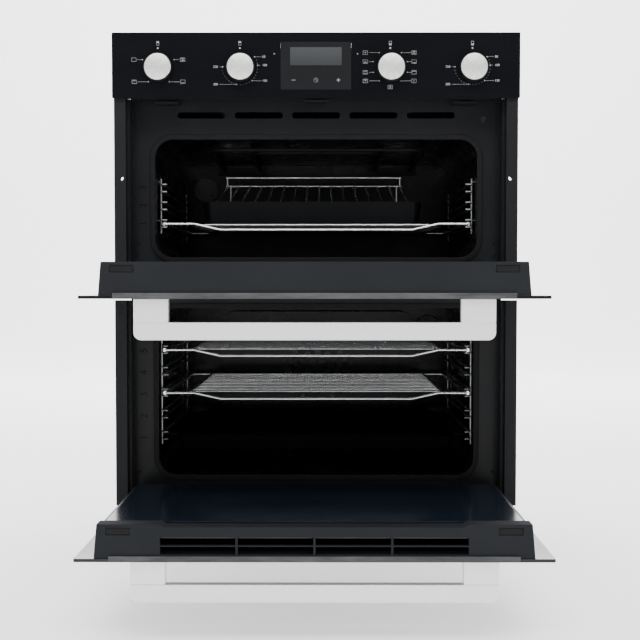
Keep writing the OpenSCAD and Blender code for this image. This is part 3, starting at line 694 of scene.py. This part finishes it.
def function_sign(centre, kind):
    """A small oven sign: a box with lines for the heat and a cross for the fan."""
    x, z = centre
    ink.outline(centre, 6.6 * MM, 5.2 * MM, PRINT_LINE)
    if kind & TOP_HEAT:
        ink.bar((x - 2 * MM, z + 1.4 * MM), (x + 2 * MM, z + 1.4 * MM), 0.4 * MM)
    if kind & BASE_HEAT:
        ink.bar((x - 2 * MM, z - 1.4 * MM), (x + 2 * MM, z - 1.4 * MM), 0.4 * MM)
    if kind & FAN:
        ink.bar((x - 1.1 * MM, z), (x + 1.1 * MM, z), PRINT_LINE)
        ink.bar((x, z - 1.1 * MM), (x, z + 1.1 * MM), PRINT_LINE)


ALL_HEAT = TOP_HEAT + BASE_HEAT + FAN
# A sign's place to the right of and above the knob's centre, its line's two ends, and its kind.
UPPER_SIGNS = (
    (-34.9, 10.4, -30.1, -22.5, 0),
    (36.1, 10.4, 23.7, 30.7, ALL_HEAT),
    (-34.5, -21.6, -29.5, -13.9, TOP_HEAT),
    (36.3, -21.6, 16.7, 31.7, BASE_HEAT),
)
for x, z, start_x, end_x, kind in UPPER_SIGNS:
    level = upper_function[1] + z * MM
    function_sign((upper_function[0] + x * MM, level), kind)
    ink.bar((upper_function[0] + start_x * MM, level), (upper_function[0] + end_x * MM, level), PRINT_LINE)
    ink.dot((upper_function[0] + (end_x if x < 0 else start_x) * MM, level), 0.8 * MM)
LEFT_KINDS = (FAN, BASE_HEAT + FAN, TOP_HEAT + BASE_HEAT, TOP_HEAT + FAN)
RIGHT_KINDS = (ALL_HEAT, BASE_HEAT, TOP_HEAT, FAN)
for side, kinds in ((-36.3, LEFT_KINDS), (34.6, RIGHT_KINDS)):
    for z, kind in zip((20.4, 7.3, -8.1, -20.5), kinds):
        level = lower_function[1] + z * MM
        function_sign((lower_function[0] + side * MM, level), kind)
        reach = math.sqrt(max(SCALE_RADIUS**2 - (z * MM) ** 2, 0))
        inner_end = lower_function[0] + math.copysign(reach, side)
        outer_end = lower_function[0] + math.copysign(30.4 * MM, side)
        ink.bar((inner_end, level), (outer_end, level), PRINT_LINE)
        ink.dot((inner_end, level), 0.7 * MM)
function_sign((lower_function[0], lower_function[1] - 29.4 * MM), ALL_HEAT)

# Under the display: minus, a clock with its two hands, and plus.
SIGN_Z = 0.648
CLOCK_RADIUS = 3.1 * MM
ink.bar((-0.0352, SIGN_Z), (-0.0302, SIGN_Z), 0.6 * MM)
ink.bar((0.0302, SIGN_Z), (0.0352, SIGN_Z), 0.6 * MM)
ink.bar((0.0327, SIGN_Z - 2.5 * MM), (0.0327, SIGN_Z + 2.5 * MM), 0.6 * MM)
ink.bar((0.0, SIGN_Z), (0.0, SIGN_Z + 2.2 * MM), 0.45 * MM)
ink.bar((0.0, SIGN_Z), (1.4 * MM, SIGN_Z - 0.8 * MM), 0.45 * MM)
for step in range(16):
    angle = math.tau * step / 16
    start = (CLOCK_RADIUS * math.cos(angle), SIGN_Z + CLOCK_RADIUS * math.sin(angle))
    end = (CLOCK_RADIUS * math.cos(angle + 0.4), SIGN_Z + CLOCK_RADIUS * math.sin(angle + 0.4))
    ink.bar(start, end, PRINT_LINE)
for sign in (-1, 1):
    ink.dot((sign * 0.0606, 0.686), 0.8 * MM)
ink.done("fascia_print", white_ink)
faint_ink.done("fascia_scale_dots", grey_ink)


# ---------- knobs ----------
# Each is a black moulded body with a fine grip, and a spun aluminium disc let into its
# face. A short dark line near the rim points to the setting.

knob_black = Finish("knob_black", specular_ior_level=0.3)
knob_black.colour(knob_black.noise(0.004), (0.006, 0.006, 0.0065), (0.012, 0.012, 0.0125))
knob_black.set("Roughness", 0.32 + knob_black.noise(0.001) * 0.15)


def spun_disc(name, centre):
    """Aluminium with the fine rings that a spun brush leaves, and a fan-shaped sheen painted into its
    colour as a highlight.
    """
    disc = Finish(name, metallic=0.8)
    point = disc.place(shift=(-centre[0], 0, -centre[1]))
    x = disc.node("SeparateXYZ", None, {"Vector": point}, "X")
    z = disc.node("SeparateXYZ", None, {"Vector": point}, "Z")
    angle = x.math("ARCTAN2", x, z)
    radius = (x * x + z * z) ** 0.5
    turn = angle * 2
    fan = disc.node("CombineXYZ", None, {"X": turn.math("SINE", turn), "Y": turn.math("COSINE", turn)})
    # The fan-shaped sheen is a painted highlight: lighter wedges in the colour that stand in for the light
    # the spun disc reflects.
    sheen = disc.node("TexNoise", None, {"Vector": fan, "Scale": 1.6, "Detail": 5.0, "Roughness": 0.6})
    rings = disc.node("CombineXYZ", None, {"X": radius * 2600, "Y": angle * 0.6})
    brush = disc.node("TexNoise", None, {"Vector": rings, "Scale": 1.0, "Detail": 3.0})
    # The colour mixes the painted sheen highlight with the brush's real rings.
    shade = (sheen.eased(0.32, 0.68) * 0.65 + brush * 0.35).limited()
    disc.colour(shade, (0.70, 0.69, 0.665), (0.97, 0.96, 0.935))
    disc.set("Roughness", 0.30 + brush * 0.16)
    disc.relief(brush, 0.000012)
    return disc


# Radius, and height above the fascia, in millimetres.
CAP_PROFILE = ((0, 15), (17.9, 15), (18.5, 14.8), (18.9, 14.4), (19, 13.8), (19, 12.4), (0, 12.4))
BODY_PROFILE = (
    (0, 12.6), (19.1, 12.6), (19.15, 13.7), (19.5, 14.0), (19.9, 13.8),
    (20.2, 13.2), (20.2, 1.6), (19.8, 0.6), (0, 0.6),
)
KNOB_PROUD = 15 * MM
GRIP_RADIUS = 20.2 * MM
RIB_COUNT = 60
for node, body, centre in zip(knob_nodes, knob_bodies, knob_centres):
    seat = (centre[0], FASCIA_FACE, centre[1])
    disc = spun_disc(node + "_disc", centre)
    cap_outline = [(r * MM, h * MM) for r, h in CAP_PROFILE]
    cap = turned(node + "_cap", cap_outline, seat, (0, -1, 0), disc, body, 96, 25)
    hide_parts(node)
    body_outline = [(r * MM, h * MM) for r, h in BODY_PROFILE]
    turned(node + "_body", body_outline, seat, (0, -1, 0), knob_black, body, 96, 25)
    ribs = bmesh.new()
    for step in range(RIB_COUNT):
        spoke = Matrix.Rotation(math.tau * step / RIB_COUNT, 4, "Z")
        bmesh.ops.create_cone(
            ribs, cap_ends=True, segments=6, radius1=0.42 * MM, radius2=0.3 * MM, depth=10.5 * MM,
            matrix=spoke @ Matrix.Translation((GRIP_RADIUS, 0, 7.2 * MM)),
        )
    upright = Matrix.Translation(seat) @ Matrix.Rotation(math.pi / 2, 4, "X")
    bmesh.ops.transform(ribs, matrix=upright, verts=ribs.verts)
    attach(shown(node + "_grip", ribs, knob_black), body)
    pointer = Print(FASCIA_FACE - KNOB_PROUD, 0.05 * MM)
    pointer.bar((centre[0], centre[1] + 14 * MM), (centre[0], centre[1] + 17 * MM), 0.6 * MM)
    pointer.done(node + "_pointer", grey_ink, body)


# ---------- hinges ----------
# Plated steel. Brackets stand out of the front frame, pins run through them, and each door's
# arms turn on the pins.

hinge_steel = Finish("hinge_steel", metallic=1.0)
hinge_steel.colour(hinge_steel.noise(0.01, detail=3), (0.40, 0.41, 0.42), (0.56, 0.57, 0.58))
hinge_steel.set("Roughness", 0.3 + hinge_steel.noise(0.003) * 0.2)
eased("hinge_brackets", "casing", 0.4 * MM, hinge_steel)
coat(hinge_steel, "hinge_pins", "upper_hinge_arms", "lower_hinge_arms")


# ---------- doors ----------
# Each is a sheet of black-printed glass bonded to a steel frame, with a mirror-coated
# inner pane, a moulded top rail and a brushed steel handle on two posts.

door_glass = Finish("door_glass", specular_ior_level=0.3)
door_smear = door_glass.noise(0.12, (1, 1, 1), detail=4)
door_glass.colour(door_smear, (0.0030, 0.0034, 0.0048), (0.0048, 0.0054, 0.0072))
door_glass.set("Roughness", 0.05 + door_smear * 0.06)

pane_glass = Finish("inner_pane", specular_ior_level=0.2)
pane_cloud = pane_glass.noise(0.09, detail=3)
pane_glass.colour(pane_cloud, (0.005, 0.0075, 0.0125), (0.008, 0.0115, 0.019))
pane_glass.set("Roughness", 0.12 + pane_cloud * 0.08)

door_steel = Finish("door_frame_lacquer", specular_ior_level=0.2)
door_steel.colour(door_steel.noise(0.03, detail=3), (0.012, 0.0125, 0.014), (0.02, 0.0205, 0.023))
door_steel.set("Roughness", 0.38 + door_steel.noise(0.002) * 0.15)
door_steel.relief(door_steel.noise(0.0012), 0.00002)

rail_lacquer = Finish("rail_lacquer", specular_ior_level=0.04)
rail_cloud = rail_lacquer.noise(0.08, (1, 2, 2), detail=3)
rail_lacquer.colour(rail_cloud, (0.0125, 0.0135, 0.0150), (0.0165, 0.0178, 0.0198))
rail_lacquer.set("Roughness", 0.58 + rail_lacquer.noise(0.0014, detail=2) * 0.14)
rail_lacquer.relief(rail_lacquer.noise(0.0009, detail=2), 0.000025)

handle_metal = Finish("brushed_handle", metallic=0.75)
handle_brush = handle_metal.noise(0.010, (1, 45, 45), detail=5, roughness=0.7)
handle_metal.colour(handle_brush, (0.66, 0.655, 0.65), (0.86, 0.855, 0.85))
handle_metal.set("Roughness", 0.33 + handle_brush * 0.2)
handle_metal.relief(handle_brush, 0.00002)

# A lighter copy of the rail's dark plastic: painted highlight along the glass edge and at the tops of the
# rail's windows. Its streaks make the highlight come and go along the edge.
edge_highlight_paint = Finish("glass_edge_painted_highlight", specular_ior_level=0.2)
strip_highlight_streaks = edge_highlight_paint.noise(0.11, (1, 6, 6), detail=4, roughness=0.7)
edge_highlight_paint.colour(strip_highlight_streaks.eased(0.3, 0.7), (0.024, 0.025, 0.026), (0.066, 0.067, 0.068))
edge_highlight_paint.set("Roughness", 0.4 + strip_highlight_streaks * 0.15)

CLIP_SPAN = (227.8 * MM, 257.2 * MM)
CLIP_DEPTH = (14 * MM, 22 * MM)
RAIL_DROP = 1.5 * MM
WINDOW_PITCH = 96 * MM
WINDOW_HALF = 46 * MM
PIVOT_HEIGHTS = {"upper": 0.353, "lower": 0.029}
for door, turn_z in PIVOT_HEIGHTS.items():
    body = door + "_door"
    glass_low, glass_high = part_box(door + "_door_glass")
    eased(door + "_door_glass", body, 0.6 * MM, door_glass, 3)
    eased(door + "_door_inner_glass", body, 0.6 * MM, pane_glass)
    eased(door + "_door_frame", body, 0.35 * MM, door_steel)
    rail = eased(door + "_door_rail", body, 0.5 * MM, rail_lacquer)
    # The rail's front lip under the glass edge takes the painted highlight.
    rail.data.materials.append(edge_highlight_paint.material)
    for face in rail.data.polygons:
        if face.center.y < glass_low.y + 0.2 * MM and face.center.z < glass_high.z + 2 * MM:
            face.material_index = 1
    plates = bmesh.new()
    for sign in (-1, 1):
        inner, outer = sorted(sign * x for x in CLIP_SPAN)
        block(
            plates, (inner, glass_low.y + RAIL_DROP + 0.6 * MM, turn_z + CLIP_DEPTH[0]),
            (outer, glass_low.y + RAIL_DROP + 1.9 * MM, turn_z + CLIP_DEPTH[1]), 0.3 * MM,
        )
    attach(shown(door + "_clip_plates", plates, rubber), body)
    if door == "lower":
        # A thin light bar inside the top of each window: a painted highlight, not a part of the door.
        strips = bmesh.new()
        for step in (-1.5, -0.5, 0.5, 1.5):
            block(
                strips, (step * WINDOW_PITCH - WINDOW_HALF, glass_low.y + 5 * MM, turn_z + 8.9 * MM),
                (step * WINDOW_PITCH + WINDOW_HALF, glass_low.y + 7 * MM, turn_z + 10.3 * MM), 0.2 * MM,
            )
        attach(shown("lower_window_painted_highlights", strips, edge_highlight_paint), body)
    eased(door + "_handle_bar", body, 0.9 * MM, handle_metal, 3)
    eased(door + "_handle_posts", body, 0.9 * MM, handle_metal, 3)
